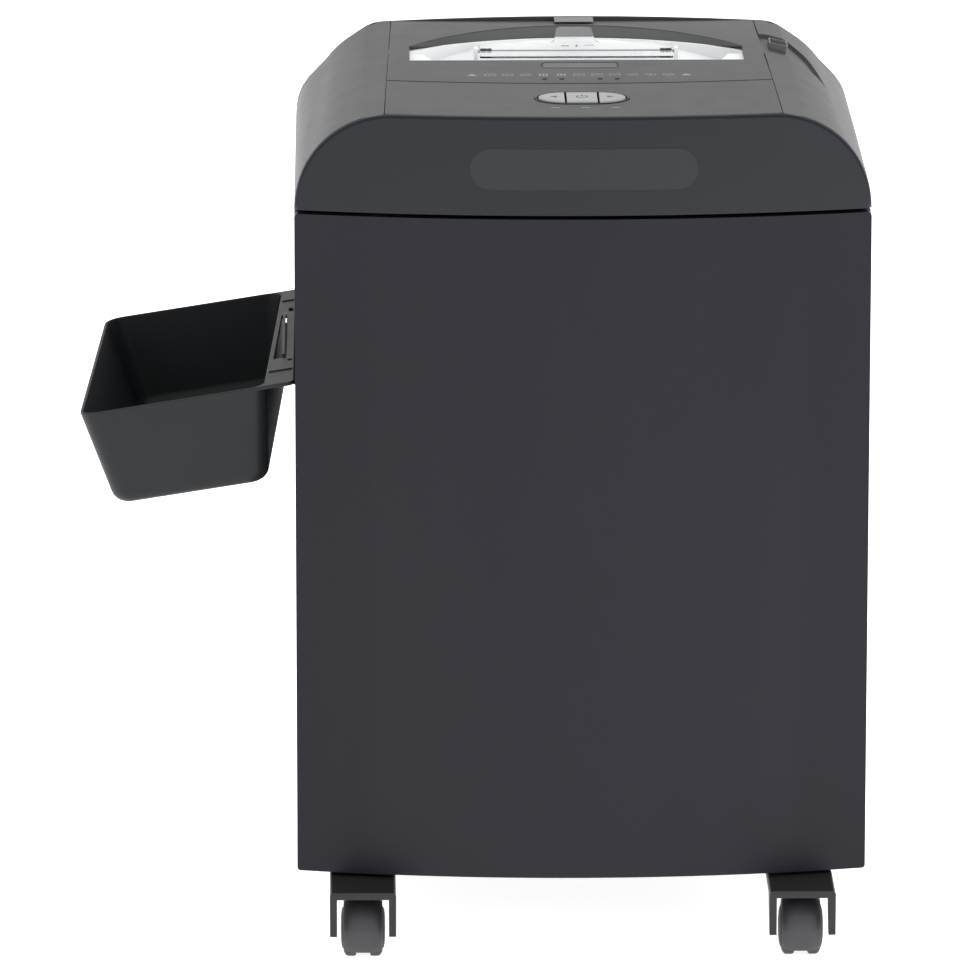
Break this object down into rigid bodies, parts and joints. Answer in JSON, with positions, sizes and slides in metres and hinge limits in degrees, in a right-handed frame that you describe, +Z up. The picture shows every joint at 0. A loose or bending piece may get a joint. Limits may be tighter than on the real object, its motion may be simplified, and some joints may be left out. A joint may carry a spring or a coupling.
{
  "type": "paper shredder",
  "caption": "Floor-standing department paper shredder: cutting head with arched throat and clear flap on a cabinet with a pull-out bin, castors and a side disc tray.",
  "frame": {"origin": "on the floor, under the middle of the whole object's bounding box", "axes": "+Z up, front faces -Y, +X to the right seen from the front; the disc tray hangs on the -X side"},
  "size_m": [0.6056, 0.3983, 0.6699],
  "materials": {
    "cabinet_panel": "fine satin texture",
    "fascia": "satin moulded",
    "cover": "fine spark-eroded texture",
    "badge": "satin inset",
    "throat": "silver-white moulded",
    "clear": "clear flap",
    "button": "silver paint",
    "dark_trim": "moulded",
    "lamp": "tinted light pipe",
    "window": "smoked window",
    "steel": "plain steel",
    "cutter_steel": "oiled hardened steel",
    "zinc": "zinc plated",
    "gear_plastic": "nylon",
    "bronze": "sintered bronze",
    "circuit": "circuit board",
    "bracket_metal": "black powder coat",
    "castor_plastic": "moulded nylon",
    "tray_plastic": "moulded",
    "bin_plastic": "moulded",
    "motor_paint": "motor housing"
  },
  "bodies": {
    "cabinet": {"left_side_panel": "cabinet_panel", "right_side_panel": "cabinet_panel", "rear_panel": "cabinet_panel", "base_plate": "bracket_metal", "cabinet_runners": "zinc", "head_base": "dark_trim", "front_fascia": "fascia", "badge_plate": "badge", "control_panel": "cover", "top_cover": "cover", "side_cover_left": "cover", "side_cover_right": "cover", "rear_cover": "cover", "throat_insert": "throat", "button_surround": "dark_trim", "status_window": "window", "status_lamps": "lamp", "control_board": "circuit", "power_inlet": "dark_trim", "switch_frame": "button", "idler_axle": "steel", "motor_body": "motor_paint", "motor_capacitor": "dark_trim", "power_board": "circuit", "side_frames": "zinc", "shaft_bearings": "bronze", "tie_rods": "steel", "stripper_combs": "zinc", "gear_guard": "zinc", "castor_brackets": "bracket_metal", "castor_plates": "bracket_metal", "plate_screws": "zinc", "tray_hanger": "bracket_metal"},
    "drawer": {"drawer_front": "cabinet_panel", "drawer_inner_panel": "dark_trim", "bin_carrier": "bracket_metal", "drawer_runners": "zinc", "waste_bin": "bin_plastic"},
    "flap": {"safety_flap": "clear", "flap_rod": "steel"},
    "reverse_button": {"button_reverse": "button"},
    "power_button": {"button_power": "button"},
    "forward_button": {"button_forward": "button"},
    "power_switch": {"power_rocker": "dark_trim"},
    "tray": {"disc_tray": "tray_plastic"},
    "front_cutter": {"cutter_front": "cutter_steel", "gear_front": "steel"},
    "rear_cutter": {"cutter_rear": "cutter_steel", "gear_rear": "steel"},
    "idler": {"idler_gear": "gear_plastic"},
    "motor_rotor": {"motor_pinion": "steel"},
    "castor_front_left_swivel": {"castor_front_left": "castor_plastic"},
    "castor_front_left_wheels": {"wheels_front_left": "castor_plastic"},
    "castor_front_right_swivel": {"castor_front_right": "castor_plastic"},
    "castor_front_right_wheels": {"wheels_front_right": "castor_plastic"},
    "castor_rear_left_swivel": {"castor_rear_left": "castor_plastic"},
    "castor_rear_left_wheels": {"wheels_rear_left": "castor_plastic"},
    "castor_rear_right_swivel": {"castor_rear_right": "castor_plastic"},
    "castor_rear_right_wheels": {"wheels_rear_right": "castor_plastic"}
  },
  "joints": [
    {"name": "drawer_slide", "type": "slide", "parent": "cabinet", "child": "drawer", "axis": [0, -1, 0], "range_m": [0, 0.3]},
    {"name": "flap_hinge", "type": "hinge", "parent": "cabinet", "child": "flap", "pos_m": [0.08283, 0.0765, 0.6638], "axis": [1, 0, 0], "range_deg": [0, 40]},
    {"name": "reverse_press", "type": "slide", "parent": "cabinet", "child": "reverse_button", "axis": [0, 0, -1], "range_m": [0, 0.0012], "stiffness_N_per_m": 600, "springref_m": -0.0008},
    {"name": "power_press", "type": "slide", "parent": "cabinet", "child": "power_button", "axis": [0, 0, -1], "range_m": [0, 0.0012], "stiffness_N_per_m": 600, "springref_m": -0.0008},
    {"name": "forward_press", "type": "slide", "parent": "cabinet", "child": "forward_button", "axis": [0, 0, -1], "range_m": [0, 0.0012], "stiffness_N_per_m": 600, "springref_m": -0.0008},
    {"name": "switch_rock", "type": "hinge", "parent": "cabinet", "child": "power_switch", "pos_m": [0.2401, 0.1045, 0.65288], "axis": [0.9781, 0, -0.2079], "range_deg": [-5, 5]},
    {"name": "tray_lift", "type": "slide", "parent": "cabinet", "child": "tray", "axis": [0, 0, 1], "range_m": [0, 0.05]},
    {"name": "front_cutter_spin", "type": "hinge", "parent": "cabinet", "child": "front_cutter", "pos_m": [0.08283, 0.0355, 0.604], "axis": [1, 0, 0], "continuous": true},
    {"name": "rear_cutter_spin", "type": "hinge", "parent": "cabinet", "child": "rear_cutter", "pos_m": [0.08283, 0.0735, 0.604], "axis": [1, 0, 0], "continuous": true},
    {"name": "idler_spin", "type": "hinge", "parent": "cabinet", "child": "idler", "pos_m": [0.08283, 0.10349, 0.61187], "axis": [1, 0, 0], "continuous": true},
    {"name": "motor_spin", "type": "hinge", "parent": "cabinet", "child": "motor_rotor", "pos_m": [0.08283, 0.13831, 0.621], "axis": [1, 0, 0], "continuous": true},
    {"name": "front_left_swivel", "type": "hinge", "parent": "cabinet", "child": "castor_front_left_swivel", "pos_m": [-0.08657, -0.1525, 0.05], "axis": [0, 0, 1], "continuous": true},
    {"name": "front_left_roll", "type": "hinge", "parent": "castor_front_left_swivel", "child": "castor_front_left_wheels", "pos_m": [-0.08657, -0.1665, 0.022], "axis": [1, 0, 0], "continuous": true},
    {"name": "front_right_swivel", "type": "hinge", "parent": "cabinet", "child": "castor_front_right_swivel", "pos_m": [0.25223, -0.1525, 0.05], "axis": [0, 0, 1], "continuous": true},
    {"name": "front_right_roll", "type": "hinge", "parent": "castor_front_right_swivel", "child": "castor_front_right_wheels", "pos_m": [0.25223, -0.1665, 0.022], "axis": [1, 0, 0], "continuous": true},
    {"name": "rear_left_swivel", "type": "hinge", "parent": "cabinet", "child": "castor_rear_left_swivel", "pos_m": [-0.08657, 0.1495, 0.05], "axis": [0, 0, 1], "continuous": true},
    {"name": "rear_left_roll", "type": "hinge", "parent": "castor_rear_left_swivel", "child": "castor_rear_left_wheels", "pos_m": [-0.08657, 0.1355, 0.022], "axis": [1, 0, 0], "continuous": true},
    {"name": "rear_right_swivel", "type": "hinge", "parent": "cabinet", "child": "castor_rear_right_swivel", "pos_m": [0.25223, 0.1495, 0.05], "axis": [0, 0, 1], "continuous": true},
    {"name": "rear_right_roll", "type": "hinge", "parent": "castor_rear_right_swivel", "child": "castor_rear_right_wheels", "pos_m": [0.25223, 0.1355, 0.022], "axis": [1, 0, 0], "continuous": true}
  ],
  "couplings": [
    {"joint": "rear_cutter_spin", "follows": "front_cutter_spin", "ratio": -1},
    {"joint": "idler_spin", "follows": "front_cutter_spin", "ratio": 1.5833},
    {"joint": "motor_spin", "follows": "front_cutter_spin", "ratio": -3.1667}
  ]
}
